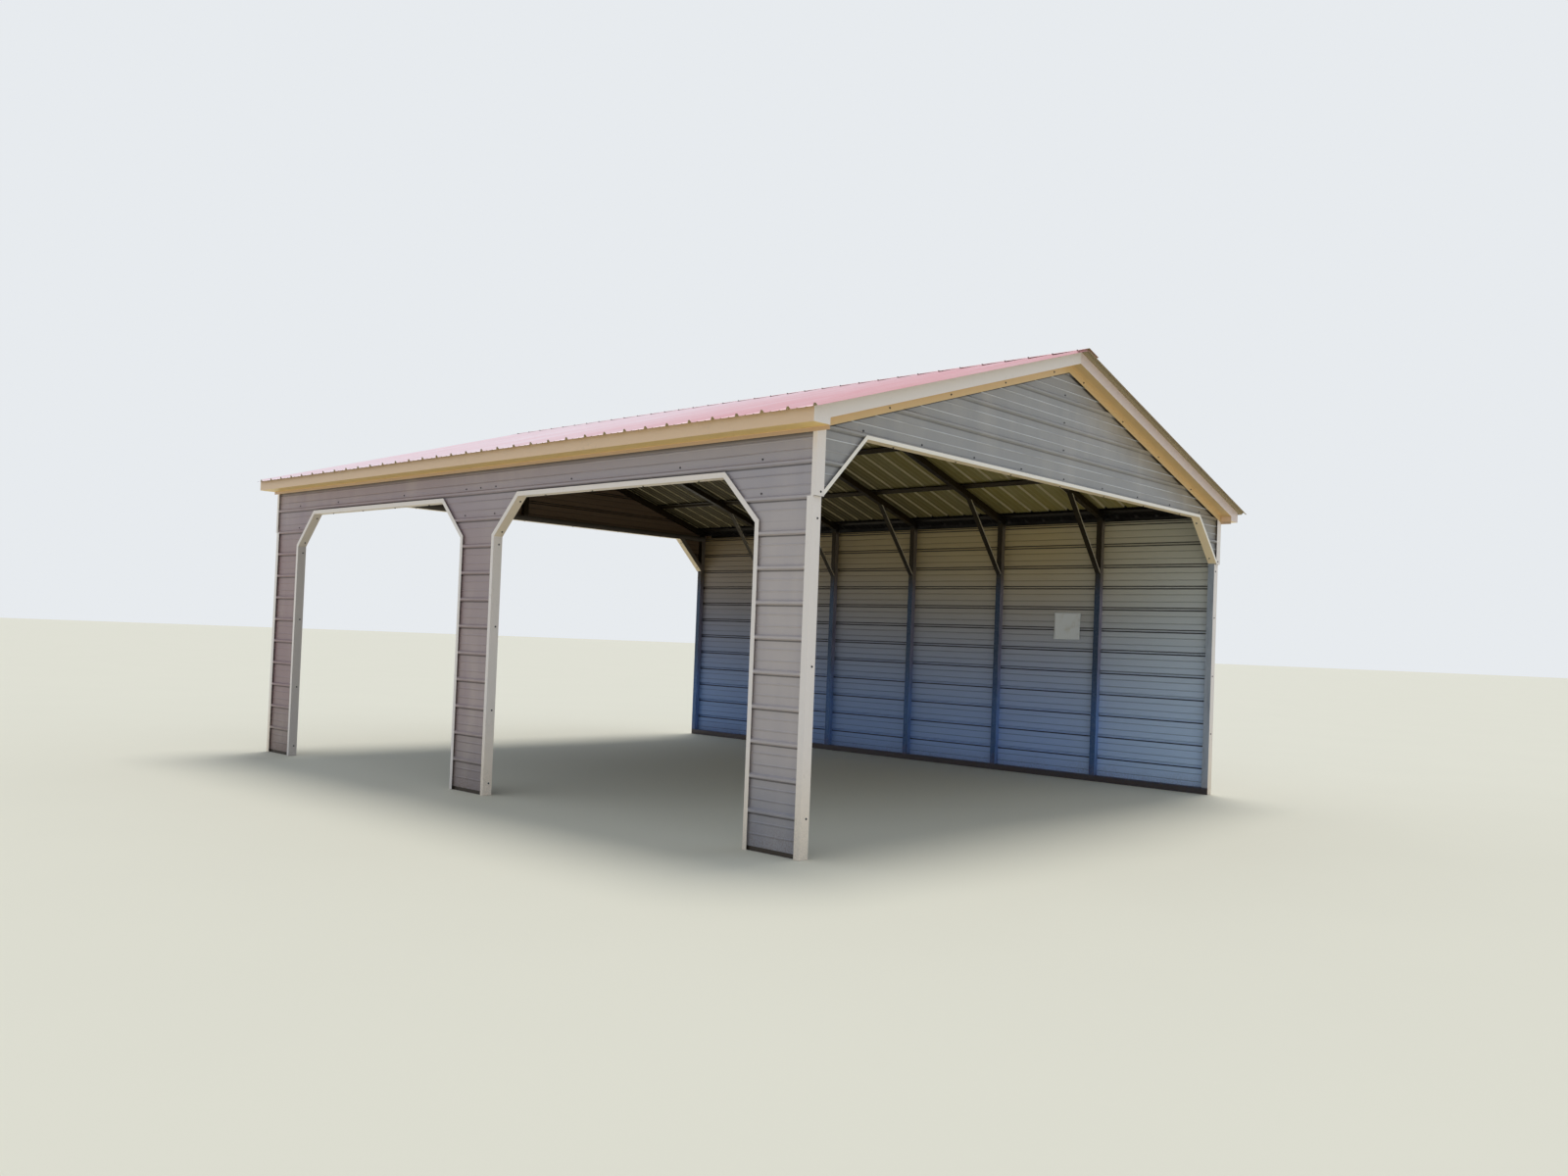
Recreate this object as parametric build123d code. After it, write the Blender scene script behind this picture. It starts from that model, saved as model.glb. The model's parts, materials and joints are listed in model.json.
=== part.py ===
from build123d import *
import os
from math import atan, cos, hypot, sin, sqrt

# A carport of galvanised square tube with ribbed steel sheets and folded trims. Its bows stand across
# the length, the left wall has two openings with 45 degree corners, the right wall is closed, and both
# ends are open under a sheeted gable. Millimetres, +Z up, +Y towards the rear, front gable at -Y.
# The origin is on the ground, below the middle of the roof.

# Frame
frame_width = 6160.0          # over the outer faces of the columns
frame_count = 7
column_height = 2818.0        # ground to the rafter's underside, at a column's outer face
roof_rise_per_run = 0.305
tube = 63.5                   # side of the square tube
fit_gap = 0.3                 # between members of one frame that meet end to face

# Sheets
sheet = 1.0                   # thickness
rib_pitch = 228.6
rib_height = 19.0
rib_base = 40.0               # width of a rib at its foot
rib_crest = 15.0              # width of a rib at its top
ridge_height = 3.0            # fine ridges, at the thirds between the ribs
ridge_base = 18.0
ridge_crest = 6.0
siding_bottom = 30.0          # ground to the siding's lower edge
siding_first_rib = 264.0      # ground to the middle of the lowest rib
siding_drop = 18.0            # the side walls' upper edge, below the column height

# Roof
front_overhang = 200.0        # sheets past the front frame
rear_overhang = 105.0         # sheets past the rear frame
eave_overhang = 41.0          # sheets past the eave's fascia
roof_first_rib = 32.0         # from the sheets' front edge to the middle of the first rib
ridge_opening = 10.0          # from the ridge to a sheet's upper end
ridge_cap_wing = 165.0        # down the slope, each side

# Hat channels under the roof sheets
purlin_height = 25.4
purlin_crown = 38.0
purlin_foot = 64.0            # between the outer corners of the two walls, at the foot
purlin_brim = 22.0
purlin_wall = 1.2
purlin_rows = 4
purlin_first = 270.0          # from the ridge, down the slope
purlin_pitch = 1015.0         # between rows, apart from the lowest one
purlin_last = 60.0            # from the lowest row to the column's outer face

# Boxed eaves and rakes
trim = 1.0                    # thickness of the folded trims
fascia_depth = 96.0           # below the roof sheet, measured upright
eave_reach = 156.0            # fascia in front of the side wall's ribs
eave_lip = 28.0               # on the side wall, below the soffit
rake_reach_front = 125.0      # fascia in front of the end frame
rake_reach_rear = 100.0
rake_flange = 60.0            # on the gable, measured upright

# Openings in the left wall, between piers that run from front to rear
front_pier = 507.0            # end frame to opening
middle_pier = 509.0
rear_pier = 508.0
side_opening_width = 3048.0
side_opening_drop = 331.0     # opening's top, below the column height
side_corner_size = 320.0      # the 45 degree corner, across and up

# Openings at the two ends
end_opening_drop = 65.0       # opening's top, below the column height
end_corner_size = 425.0

# Trims
opening_flange = 37.0
gable_trim_flange = 27.0
corner_side_flange = 50.0
corner_face_flange = 83.0
upper_side_flange = 37.0
corner_split_drop = 496.0     # where the upper corner trim starts, below the column height

# Knee braces, shallow channels
brace_drop = 583.0            # the brace's lower end on the column, below the column height
brace_run = 660.0             # from the column to the brace's upper end
brace_depth = 16.0
brace_width = 57.0
brace_wall = 2.0

# Places worked out from the sizes above
diagonal = sqrt(2)
half_width = frame_width / 2
column_inner = half_width - tube
frame_length = front_pier + side_opening_width + middle_pier + side_opening_width + rear_pier
siding_top = column_height - siding_drop
side_opening_height = column_height - side_opening_drop
end_opening_height = column_height - end_opening_drop
corner_split = column_height - corner_split_drop
brace_foot = column_height - brace_drop
slope = atan(roof_rise_per_run)
slope_cos = cos(slope)
slope_sin = sin(slope)
roof_length = frame_length + front_overhang + rear_overhang
roof_front = -roof_length / 2
roof_rear = roof_length / 2
frame_front = roof_front + front_overhang
frame_rear = roof_rear - rear_overhang
frame_step = (frame_length - tube) / (frame_count - 1)
middle_frame = frame_count // 2
siding_depth = sheet + rib_height
wall_face = half_width + siding_depth
eave_face = wall_face + eave_reach


def rafter_bottom(x):
    return column_height + roof_rise_per_run * (half_width - abs(x))


def rafter_top(x):
    return rafter_bottom(x) + tube / slope_cos


def pan_bottom(x):
    return rafter_top(x) + purlin_height / slope_cos


def fascia_bottom(x):
    return pan_bottom(x) - fascia_depth


def behind_trim(leg):
    """Leg of a 45 degree corner, measured on what the trim's return lies against."""
    return leg + trim - trim * diagonal


soffit_level = fascia_bottom(eave_face)

# Where the left wall's openings start and end
first_opening = frame_front + front_pier
second_opening = first_opening + side_opening_width + middle_pier
side_openings = [
    (first_opening, first_opening + side_opening_width),
    (second_opening, second_opening + side_opening_width),
]


def across(points, near, far):
    """Solid with an outline of (x, z) points, from one place along Y to another."""
    outline = Polyline(*[(x, near, z) for x, z in points], close=True)
    return extrude(make_face(outline), amount=far - near, dir=(0, 1, 0))


def along(points, near, far):
    """Solid with an outline of (y, z) points, from one place along X to another."""
    outline = Polyline(*[(near, y, z) for y, z in points], close=True)
    return extrude(make_face(outline), amount=far - near, dir=(1, 0, 0))


def block(x0, x1, y0, y1, z0, z1):
    """Upright block between two corners."""
    return across([(x0, z0), (x1, z0), (x1, z1), (x0, z1)], y0, y1)


def mirrored_x(shapes):
    """The same pieces on the other side of the ridge line."""
    return [mirror(shape, about=Plane.YZ) for shape in shapes]


def save(node, shapes):
    """One file for each named sub-part, with its pieces as separate solids."""
    solids = [solid for shape in shapes for solid in shape.solids()]
    export_step(Compound(children=solids), "parts/" + node + ".step")


# Ribbed sheets


def ribbed_section(start, end, first_rib):
    """Outline of a ribbed sheet as (along, proud) points. Only whole ribs are made."""
    face = [(start, sheet)]
    index = int((start - first_rib) // rib_pitch)
    middle = first_rib + index * rib_pitch
    while middle < end:
        bumps = [(middle, rib_base, rib_crest, rib_height)]
        for share in (1 / 3, 2 / 3):
            bumps.append((middle + share * rib_pitch, ridge_base, ridge_crest, ridge_height))
        for centre, base, crest, height in bumps:
            if start < centre - base / 2 and centre + base / 2 < end:
                face.append((centre - base / 2, sheet))
                face.append((centre - crest / 2, sheet + height))
                face.append((centre + crest / 2, sheet + height))
                face.append((centre + base / 2, sheet))
        middle += rib_pitch
    face.append((end, sheet))
    back = [(place, proud - sheet) for place, proud in reversed(face)]
    return face + back


def side_siding(bottom, top, near, far, side):
    """Siding on a side wall. Side is -1 on the left and 1 on the right."""
    section = ribbed_section(bottom, top, siding_first_rib)
    return across([(side * (half_width + proud), z) for z, proud in section], near, far)


def gable_siding(bottom, top, face, outward):
    """Siding across an end. Outward is -1 at the front and 1 at the rear."""
    section = ribbed_section(bottom, top, siding_first_rib)
    points = [(face + outward * proud, z) for z, proud in section]
    return along(points, -half_width, half_width)


def left_wall_siding():
    """Siding of the left wall: piers, sheets beside the 45 degree corners, and the strip on top."""
    header = side_opening_height + trim
    reach = behind_trim(side_corner_size + trim)
    shoulder = header - reach
    edges = [frame_front]
    for start, end in side_openings:
        edges += [start - trim, end + trim]
    edges.append(frame_rear)
    piers = []
    corners = []
    for index in range(len(edges) // 2):
        near, far = edges[2 * index], edges[2 * index + 1]
        piers.append(side_siding(siding_bottom, shoulder, near, far, -1))
        near_leg = reach if index > 0 else 0.0
        far_leg = reach if index + 1 < len(edges) // 2 else 0.0
        sheet_blank = side_siding(shoulder, header, near - near_leg, far + far_leg, -1)
        wedge = [(near, shoulder), (far, shoulder), (far + far_leg, header), (near - near_leg, header)]
        corners.append(sheet_blank & along(wedge, -wall_face, -half_width))
    strip = side_siding(header, siding_top, frame_front, frame_rear, -1)
    return piers, corners, strip


def gable_sheets(face, outward):
    """The sheets of one end: the gable, and the corners beside its opening."""
    seam = end_opening_height + trim
    near, far = sorted((face, face + outward * siding_depth))
    gable = gable_siding(seam, rafter_top(0), face, outward)
    triangle = [
        (-half_width, seam), (half_width, seam), (half_width, rafter_top(half_width)),
        (0, rafter_top(0)), (-half_width, rafter_top(half_width)),
    ]
    gable = gable & across(triangle, near, far)
    corner = gable_siding(corner_split, seam, face, outward)
    reach = behind_trim(end_corner_size)
    wedge = [
        (-half_width, corner_split), (-column_inner, corner_split), (-column_inner, seam - reach),
        (-column_inner + reach, seam), (-half_width, seam),
    ]
    corner = corner & across(wedge, near, far)
    return gable, [corner] + mirrored_x([corner])


def roof_sheet(side):
    """Roof sheet of one slope, with its ribs running down the slope."""
    section = ribbed_section(roof_front, roof_rear, roof_front + roof_first_rib)
    length = (eave_face + eave_overhang) / slope_cos - ridge_opening
    down = Vector(side * slope_cos, 0, -slope_sin)
    out = Vector(side * slope_sin, 0, slope_cos)
    start = Vector(0, 0, pan_bottom(0)) + down * ridge_opening
    points = [start + out * proud + Vector(0, y, 0) for y, proud in section]
    return extrude(make_face(Polyline(*points, close=True)), amount=length, dir=down)


def ridge_cap():
    """Folded cap that sits on the ribs' crests."""
    wing = ridge_cap_wing * slope_cos
    under = siding_depth / slope_cos
    over = under + sheet / slope_cos
    points = [(x, pan_bottom(x) + under) for x in (-wing, 0, wing)]
    points += [(x, pan_bottom(x) + over) for x in (wing, 0, -wing)]
    return across(points, roof_front, roof_rear)


# Frame


def column(side, foot):
    """Column or stub under a rafter's end. Side is -1 on the left and 1 on the right."""
    outline = [
        (side * column_inner, foot), (side * half_width, foot),
        (side * half_width, rafter_bottom(half_width) - fit_gap),
        (side * column_inner, rafter_bottom(column_inner) - fit_gap),
    ]
    return outline


def rafter(side):
    start = fit_gap / 2
    outline = [
        (side * start, rafter_bottom(start)), (side * half_width, rafter_bottom(half_width)),
        (side * half_width, rafter_top(half_width)), (side * start, rafter_top(start)),
    ]
    return outline


def brace_outline(side, low, high, past):
    """Outline between two lines along a brace, at distances above its lower face.

    It runs from the column's inner face to the rafter's underside, and goes past both by a little.
    """
    foot_x = column_inner - fit_gap
    head_x = foot_x - brace_run
    rise = (rafter_bottom(head_x) - fit_gap - brace_foot) / brace_run
    points = []
    for distance, turned in ((low, 1), (high, -1)):
        lift = distance * hypot(1, rise)
        upper_x = head_x + lift / (rise - roof_rise_per_run)
        for x in (foot_x + past, upper_x - past)[::turned]:
            points.append((side * x, brace_foot + lift + rise * (foot_x - x)))
    return points


def knee_brace(side, near):
    """Channel from a column's inner face up to the rafter's underside, open towards their corner."""
    bar = across(brace_outline(side, 0, brace_depth, 0), near, near + brace_width)
    hollow = brace_outline(side, brace_wall, 2 * brace_depth, brace_wall)
    return bar - across(hollow, near + brace_wall, near + brace_width - brace_wall)


def bow(index):
    """One frame across the carport, with its members as separate solids."""
    near = frame_front + index * frame_step
    far = near + tube
    at_end = index in (0, frame_count - 1)
    full_left = at_end or index == middle_frame
    left_foot = tube if full_left else side_opening_height + trim + tube
    outlines = [column(1, tube), column(-1, left_foot), rafter(1), rafter(-1)]
    members = [across(outline, near, far) for outline in outlines]
    if not at_end:
        brace_near = near + (tube - brace_width) / 2
        sides = (1, -1) if full_left else (1,)
        for side in sides:
            members.append(knee_brace(side, brace_near))
    return members


def base_rails():
    """Rail along the right wall, and a short rail under each pier of the left wall."""
    rails = [block(column_inner, half_width, frame_front, frame_rear, 0, tube)]
    starts = [frame_front] + [end + trim for start, end in side_openings]
    ends = [start - trim for start, end in side_openings] + [frame_rear]
    for near, far in zip(starts, ends):
        rails.append(block(-half_width, -column_inner, near, far, 0, tube))
    return rails


def corner_tube(reach):
    """Outline of the tube across a corner, as distances in from the post and down from the header."""
    inner = reach - tube * diagonal
    return [(fit_gap, reach - fit_gap), (fit_gap, inner), (inner, fit_gap), (reach - fit_gap, fit_gap)]


def opening_frame(start, end, header_near, header_far):
    """Jamb posts, header and corner tubes of one opening in the left wall."""
    level = side_opening_height + trim
    reach = behind_trim(side_corner_size + trim)
    near, far = start - trim, end + trim
    members = [
        block(-half_width, -column_inner, near - tube, near, tube, level - fit_gap),
        block(-half_width, -column_inner, far, far + tube, tube, level - fit_gap),
        block(-half_width, -column_inner, header_near, header_far, level, level + tube),
    ]
    for edge, inward in ((near, 1), (far, -1)):
        outline = [(edge + inward * a, level - b) for a, b in corner_tube(reach)]
        members.append(along(outline, -half_width, -column_inner))
    return members


def gable_frame(near):
    """Cross tube, centre stud and corner tubes of one end."""
    far = near + tube
    level = end_opening_height + trim
    reach = behind_trim(end_corner_size)
    stud = [
        (-tube / 2, level + tube + fit_gap), (tube / 2, level + tube + fit_gap),
        (tube / 2, rafter_bottom(tube / 2)), (0, rafter_bottom(0)), (-tube / 2, rafter_bottom(tube / 2)),
    ]
    members = [
        block(-column_inner, column_inner, near, far, level, level + tube),
        across(stud, near, far),
    ]
    for side in (-1, 1):
        outline = [(side * (column_inner - a), level - b) for a, b in corner_tube(reach)]
        members.append(across(outline, near, far))
    return members


def purlin(distance, side):
    """Hat channel at one distance down the slope, brims on the rafters and crown under the sheets."""
    foot = purlin_foot / 2
    crown = purlin_crown / 2
    brim = foot + purlin_brim
    wall = purlin_wall * hypot(1, (foot - crown) / purlin_height)
    top = [
        (-brim, purlin_wall), (-foot, purlin_wall), (-crown, purlin_height),
        (crown, purlin_height), (foot, purlin_wall), (brim, purlin_wall),
    ]
    inside = [
        (brim, 0), (foot - wall, 0), (crown - wall, purlin_height - purlin_wall),
        (wall - crown, purlin_height - purlin_wall), (wall - foot, 0), (-brim, 0),
    ]
    points = []
    for a, b in top + inside:
        down = distance + a
        x = down * slope_cos + b * slope_sin
        z = rafter_top(0) - down * slope_sin + b * slope_cos
        points.append((side * x, z))
    return across(points, frame_front - rake_reach_front + trim, frame_rear + rake_reach_rear - trim)


def purlins(side):
    rows = [purlin_first + row * purlin_pitch for row in range(purlin_rows - 1)]
    rows.append(half_width / slope_cos - purlin_last)
    return [purlin(row, side) for row in rows]


# Folded trims


def offset_path(path, distance):
    """The path moved to its left by a distance, with mitred corners."""
    moved = []
    for index, (a, b) in enumerate(path):
        before = path[index - 1] if index > 0 else None
        after = path[index + 1] if index + 1 < len(path) else None
        normals = []
        for start, end in ((before, (a, b)), ((a, b), after)):
            if start is not None and end is not None:
                length = hypot(end[0] - start[0], end[1] - start[1])
                normals.append((-(end[1] - start[1]) / length, (end[0] - start[0]) / length))
        sum_a = sum(normal[0] for normal in normals) / len(normals)
        sum_b = sum(normal[1] for normal in normals) / len(normals)
        scale = distance / (sum_a ** 2 + sum_b ** 2)
        moved.append((a + sum_a * scale, b + sum_b * scale))
    return moved


def strip_outline(path, index, distance):
    """Outline of one straight stretch of trim, a hair short of its mitres."""
    far_side = offset_path(path, distance)
    (a0, b0), (a1, b1) = path[index], path[index + 1]
    length = hypot(a1 - a0, b1 - b0)
    da, db = (a1 - a0) / length * fit_gap / 2, (b1 - b0) / length * fit_gap / 2
    (c0, d0), (c1, d1) = far_side[index], far_side[index + 1]
    return [(a0 + da, b0 + db), (a1 - da, b1 - db), (c1 - da, d1 - db), (c0 + da, d0 + db)]


def side_opening_trim(start, end):
    """L-shaped trim round one opening in the left wall: a flange on the siding and a return."""
    leg = side_corner_size
    top = side_opening_height
    path = [
        (start, 0.0), (start, top - leg), (start + leg, top), (end - leg, top), (end, top - leg), (end, 0.0),
    ]
    outer = -wall_face - trim
    pieces = []
    for index in range(len(path) - 1):
        flange = along(strip_outline(path, index, opening_flange), outer, -wall_face)
        reveal = along(strip_outline(path, index, trim), outer, -column_inner)
        pieces.append(flange + reveal)
    return pieces


def end_opening_trim(face, outward):
    """L-shaped trim under one gable: along the cross tube and across both corners."""
    leg = end_corner_size
    top = end_opening_height
    side = column_inner
    path = [(-side, top - leg), (-side + leg, top), (side - leg, top), (side, top - leg)]
    siding_face = face + outward * siding_depth
    outer = siding_face + outward * trim
    flange_ends = sorted((outer, siding_face))
    reveal_ends = sorted((outer, face - outward * tube))
    clear = side - fit_gap
    between_columns = block(-clear, clear, min(outer, face) - tube, max(outer, face) + tube, 0, column_height)
    pieces = []
    for index in range(len(path) - 1):
        flange = across(strip_outline(path, index, gable_trim_flange), *flange_ends)
        reveal = across(strip_outline(path, index, trim), *reveal_ends)
        pieces.append((flange + reveal) & between_columns)
    return pieces


def corner_lower(side, face, outward):
    """Corner trim from the ground up, on the wall's ribs and on the column's face."""
    outer_x = side * (wall_face + trim)
    outer_y = face + outward * trim
    wing = block(*sorted((outer_x, side * wall_face)),
                 *sorted((outer_y, outer_y - outward * corner_side_flange)), 0, corner_split)
    front = block(*sorted((outer_x, outer_x - side * corner_face_flange)),
                  *sorted((outer_y, face)), 0, corner_split)
    return wing + front


def corner_upper(side, face, outward):
    """Corner trim beside the gable's corner, on the ribs of both sheets."""
    siding_face = face + outward * siding_depth
    outer_y = siding_face + outward * trim
    outer_x = side * (wall_face + trim)
    lip = soffit_level - eave_lip
    wing = block(*sorted((outer_x, side * wall_face)),
                 *sorted((outer_y, outer_y - outward * upper_side_flange)), corner_split, lip)
    flange_line = -rake_flange
    outline = [
        (outer_x, corner_split), (side * column_inner, corner_split),
        (side * column_inner, fascia_bottom(column_inner) + flange_line),
        (side * wall_face, fascia_bottom(wall_face) + flange_line), (side * wall_face, lip), (outer_x, lip),
    ]
    return wing + across(outline, *sorted((outer_y, siding_face)))


def eave(side):
    """Boxed eave: fascia, soffit and a lip on the wall, with a closed end at each overhang."""
    near = frame_front - rake_reach_front + trim
    far = frame_rear + rake_reach_rear - trim
    lip = soffit_level - eave_lip
    outline = [
        (eave_face, pan_bottom(eave_face)), (eave_face, soffit_level), (wall_face + trim, soffit_level),
        (wall_face + trim, lip), (wall_face, lip), (wall_face, soffit_level + trim),
        (eave_face - trim, soffit_level + trim), (eave_face - trim, pan_bottom(eave_face - trim)),
    ]
    box = across([(side * x, z) for x, z in outline], near, far)
    rise = fascia_bottom(wall_face)
    plate = sorted((side * wall_face, side * (wall_face + trim)))
    for start, end in ((near, frame_front - siding_depth), (frame_rear + siding_depth, far)):
        box = box + block(*plate, start, end, lip, rise)
    return box


def rake(side, face, outward, reach):
    """Boxed rake: fascia with the eave's end cap, soffit, and a flange on the gable."""
    siding_face = face + outward * siding_depth
    front = face + outward * reach
    cap = [
        (0, pan_bottom(0)), (eave_face, pan_bottom(eave_face)), (eave_face, soffit_level),
        (wall_face, soffit_level), (wall_face, fascia_bottom(wall_face)), (0, fascia_bottom(0)),
    ]
    thick = trim / slope_cos
    soffit = [
        (0, fascia_bottom(0)), (wall_face, fascia_bottom(wall_face)),
        (wall_face, fascia_bottom(wall_face) + thick), (0, fascia_bottom(0) + thick),
    ]
    flange = [
        (0, fascia_bottom(0) - rake_flange), (wall_face, fascia_bottom(wall_face) - rake_flange),
        (wall_face, fascia_bottom(wall_face) + thick), (0, fascia_bottom(0) + thick),
    ]
    plates = [
        (cap, front, front - outward * trim), (soffit, front, siding_face),
        (flange, siding_face + outward * trim, siding_face),
    ]
    solids = [across([(side * x, z) for x, z in outline], *sorted(ends)) for outline, *ends in plates]
    return solids[0] + solids[1] + solids[2]


def build():
    os.makedirs("parts", exist_ok=True)
    ends = {"front": (frame_front, -1, rake_reach_front), "rear": (frame_rear, 1, rake_reach_rear)}
    sides = {"left": -1, "right": 1}

    for index in range(frame_count):
        save("frame_" + str(index + 1), bow(index))
    save("base_rails", base_rails())
    middle_near = frame_front + middle_frame * frame_step
    headers = [(frame_front + tube, middle_near), (middle_near + tube, frame_rear - tube)]
    for name, opening, header in zip(ends, side_openings, headers):
        save("opening_frame_" + name, opening_frame(*opening, *header))
        save("opening_trim_" + name, side_opening_trim(*opening))

    piers, corners, strip = left_wall_siding()
    for name, pier in zip(("front", "middle", "rear"), piers):
        save("siding_left_" + name, [pier])
    save("siding_left_corners", corners)
    save("siding_left_top", [strip])
    save("siding_right", [side_siding(siding_bottom, siding_top, frame_front, frame_rear, 1)])

    for name, side in sides.items():
        save("purlins_" + name, purlins(side))
        save("roof_" + name, [roof_sheet(side)])
        save("eave_" + name, [eave(side)])
    save("ridge_cap", [ridge_cap()])

    for end, (face, outward, reach) in ends.items():
        gable, corner_sheets = gable_sheets(face, outward)
        save("gable_" + end, [gable])
        save("gable_corners_" + end, corner_sheets)
        save("gable_frame_" + end, gable_frame(min(face, face - outward * tube)))
        save("gable_trim_" + end, end_opening_trim(face, outward))
        for name, side in sides.items():
            save("corner_lower_" + end + "_" + name, [corner_lower(side, face, outward)])
            save("corner_upper_" + end + "_" + name, [corner_upper(side, face, outward)])
            save("rake_" + end + "_" + name, [rake(side, face, outward, reach)])


build()
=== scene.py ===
import bmesh
import bpy
import json
import math
import random
from mathutils import Matrix, Vector


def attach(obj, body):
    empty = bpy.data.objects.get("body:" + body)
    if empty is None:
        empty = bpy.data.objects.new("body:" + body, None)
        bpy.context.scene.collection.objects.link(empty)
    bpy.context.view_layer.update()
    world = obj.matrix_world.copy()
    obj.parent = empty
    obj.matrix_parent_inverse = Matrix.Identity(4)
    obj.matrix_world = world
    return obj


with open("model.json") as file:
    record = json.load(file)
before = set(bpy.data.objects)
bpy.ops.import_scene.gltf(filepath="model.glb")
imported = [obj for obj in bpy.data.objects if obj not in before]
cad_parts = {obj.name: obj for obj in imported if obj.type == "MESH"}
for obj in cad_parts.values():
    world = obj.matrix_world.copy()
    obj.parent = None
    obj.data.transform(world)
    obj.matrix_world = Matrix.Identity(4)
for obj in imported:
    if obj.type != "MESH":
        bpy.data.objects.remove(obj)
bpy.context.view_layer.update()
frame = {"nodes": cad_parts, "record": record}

# Sizes of the carport, in metres, as in the part's source
HALF_WIDTH = 3.080
FRAME_FRONT = -3.7625
FRAME_REAR = 3.8575
ROOF_FRONT = -3.9625
ROOF_REAR = 3.9625
COLUMN_HEIGHT = 2.818
RISE_PER_RUN = 0.305
TUBE = 0.0635
FRAME_COUNT = 7
SHEET = 0.001
RIB_PITCH = 0.2286
RIB_HEIGHT = 0.019
RIB_BASE = 0.040
RIDGE_AT = RIB_PITCH / 3
SIDING_FIRST_RIB = 0.264
ROOF_FIRST_RIB = 0.032
PURLIN_HEIGHT = 0.0254
FASCIA_DEPTH = 0.096
RAKE_FLANGE = 0.060
EAVE_FACE = 3.256
EAVE_LIP = 0.028
RAKE_REACH_FRONT = 0.125
RAKE_REACH_REAR = 0.100
FRONT_PIER = 0.507
MIDDLE_PIER = 0.509
SIDE_OPENING_WIDTH = 3.048
SIDE_OPENING_HEIGHT = 2.487
END_OPENING_HEIGHT = 2.753
SIDE_CORNER = 0.320
END_CORNER = 0.425
TRIM = 0.001
CAP_WING = 0.165
PURLIN_ROW_COUNT = 3
PURLIN_FIRST = 0.270
PURLIN_PITCH = 1.015
PURLIN_LAST = 0.060

SLOPE = math.atan(RISE_PER_RUN)
SLOPE_COS = math.cos(SLOPE)
SLOPE_SIN = math.sin(SLOPE)
COLUMN_INNER = HALF_WIDTH - TUBE
FRAME_STEP = (FRAME_REAR - FRAME_FRONT - TUBE) / (FRAME_COUNT - 1)
FRAME_MIDDLES = [FRAME_FRONT + TUBE / 2 + index * FRAME_STEP for index in range(FRAME_COUNT)]
FIRST_OPENING = FRAME_FRONT + FRONT_PIER
SECOND_OPENING = FIRST_OPENING + SIDE_OPENING_WIDTH + MIDDLE_PIER
PURLIN_ROWS = [PURLIN_FIRST + row * PURLIN_PITCH for row in range(PURLIN_ROW_COUNT)]
PURLIN_ROWS.append(HALF_WIDTH / SLOPE_COS - PURLIN_LAST)

# Colours, linear. FRONT, REAR, LOW, MIDDLE, HIGH and LEFT say where on the carport
WALL_FRONT = (0.450, 0.395, 0.385, 1.0)
WALL_REAR = (0.315, 0.210, 0.210, 1.0)
WALL_LOW = (0.295, 0.280, 0.300, 1.0)
WALL_LOW_REAR = (0.285, 0.208, 0.190, 1.0)
# Painted shade under the eaves, on the side walls' upper part outside
WALL_EAVE_SHADE = (0.250, 0.245, 0.315, 1.0)
WALL_EAVE_SHADE_REAR = (0.364, 0.325, 0.363, 1.0)
EAVE_SHADOW = (0.140, 0.098, 0.050, 1.0)
GABLE_GREY = (0.306, 0.296, 0.290, 1.0)
# Painted warm shade on the gables under the rakes
GABLE_RAKE_SHADE = (0.250, 0.205, 0.140, 1.0)
GABLE_INSIDE = (0.180, 0.115, 0.070, 1.0)
# Inside the walls: painted blue sky reflection low down, painted warm bounce light high up, and painted shade
# darker towards the rear
INSIDE_FRONT_LOW = (0.500, 0.640, 0.860, 1.0)
INSIDE_FRONT_HIGH = (0.565, 0.530, 0.425, 1.0)
INSIDE_MIDDLE_LOW = (0.355, 0.495, 0.820, 1.0)
INSIDE_MIDDLE_HIGH = (0.520, 0.400, 0.200, 1.0)
INSIDE_REAR_LOW = (0.155, 0.260, 0.505, 1.0)
INSIDE_REAR_HIGH = (0.252, 0.178, 0.092, 1.0)
INSIDE_LEFT = (0.300, 0.300, 0.320, 1.0)
UNLIT = (0.020, 0.016, 0.012, 1.0)
SHADOW_LINE = (0.075, 0.070, 0.070, 1.0)
# Painted highlight on the gables' fine ridges
RIDGE_HIGHLIGHT = (0.640, 0.650, 0.660, 1.0)
TRIM_IVORY = (0.870, 0.785, 0.720, 1.0)
TRIM_LOW = (0.930, 0.790, 0.640, 1.0)
TRIM_SHADED = (0.630, 0.560, 0.510, 1.0)
GABLE_TRIM_IVORY = (0.950, 0.880, 0.780, 1.0)
# Painted warm bounce light on the eaves: upright faces, then soffits
EAVE_BEIGE_BOUNCE_LIGHT = (0.810, 0.566, 0.366, 1.0)
EAVE_TAN_BOUNCE_LIGHT = (0.900, 0.630, 0.230, 1.0)
# Painted warm bounce light on the trims' undersides, and a shaded copy for the right rake
TRIM_TAN_BOUNCE_LIGHT = (0.840, 0.580, 0.220, 1.0)
TRIM_TAN_BOUNCE_LIGHT_SHADED = (0.620, 0.420, 0.160, 1.0)
# Painted warm bounce light on the rakes' flanges
RAKE_FLANGE_TAN_BOUNCE_LIGHT = (0.720, 0.500, 0.240, 1.0)
RAKE_SHADED = (0.800, 0.650, 0.590, 1.0)
TRIM_DIRT = (0.330, 0.280, 0.210, 1.0)
ROOF_RED = (0.840, 0.420, 0.420, 1.0)
# Paler red: faded paint in patches, and painted glare
ROOF_FADED_AND_GLARE = (0.980, 0.860, 0.860, 1.0)
ROOF_BACK = (0.275, 0.215, 0.050, 1.0)
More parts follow.
